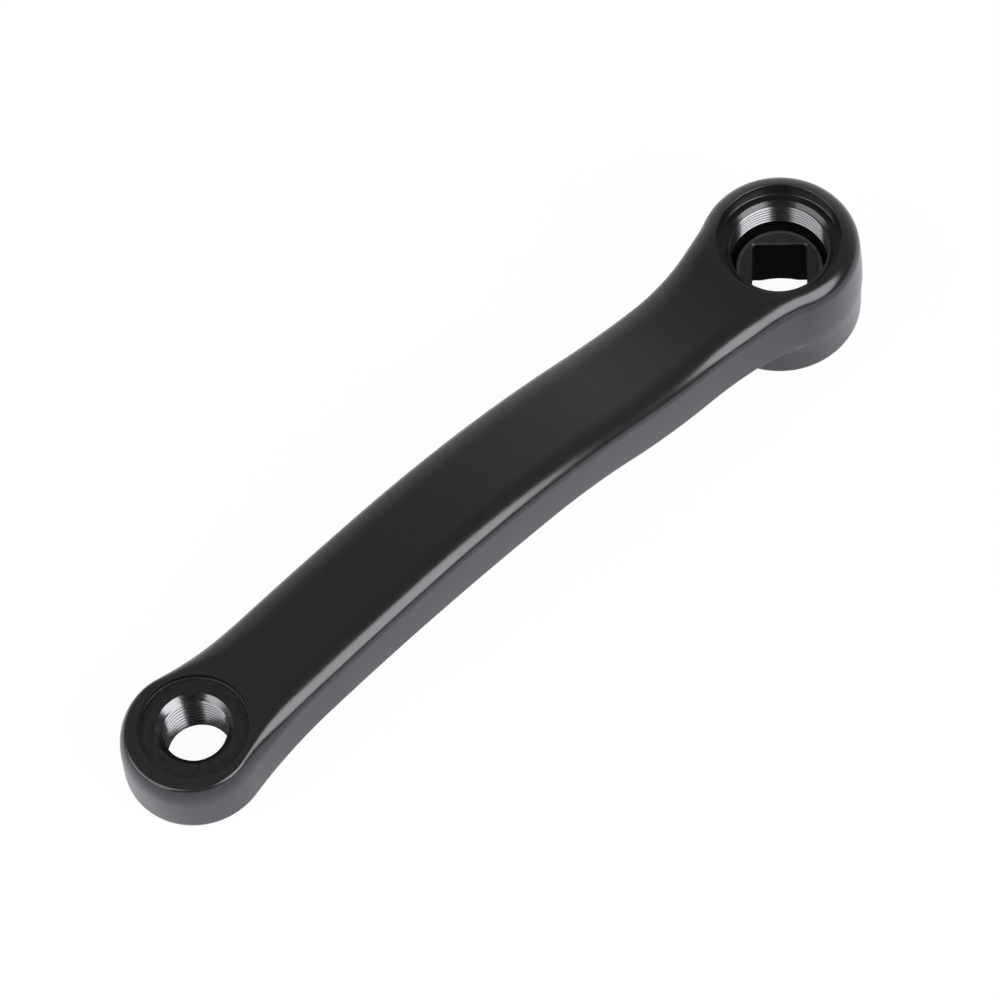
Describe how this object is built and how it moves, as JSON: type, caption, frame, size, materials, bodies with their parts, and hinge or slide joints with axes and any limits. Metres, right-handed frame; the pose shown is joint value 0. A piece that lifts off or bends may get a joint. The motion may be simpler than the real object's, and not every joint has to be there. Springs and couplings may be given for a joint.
{
  "type": "bicycle crank arm",
  "caption": "Left bicycle crank arm: a bowed solid alloy lever painted satin black, with a square taper spindle socket in its boss and a threaded eye for the pedal axle.",
  "frame": {"origin": "centre of the boss's inboard face, on the spindle axis", "axes": "+Z along the spindle axis, outboard, away from the bicycle; -X along the arm towards the pedal eye; +Y completes a right-handed frame"},
  "size_m": [0.2044, 0.0362, 0.0395],
  "materials": {
    "black_paint": "satin"
  },
  "bodies": {
    "root": {"crank_arm": "black_paint"}
  },
  "joints": []
}
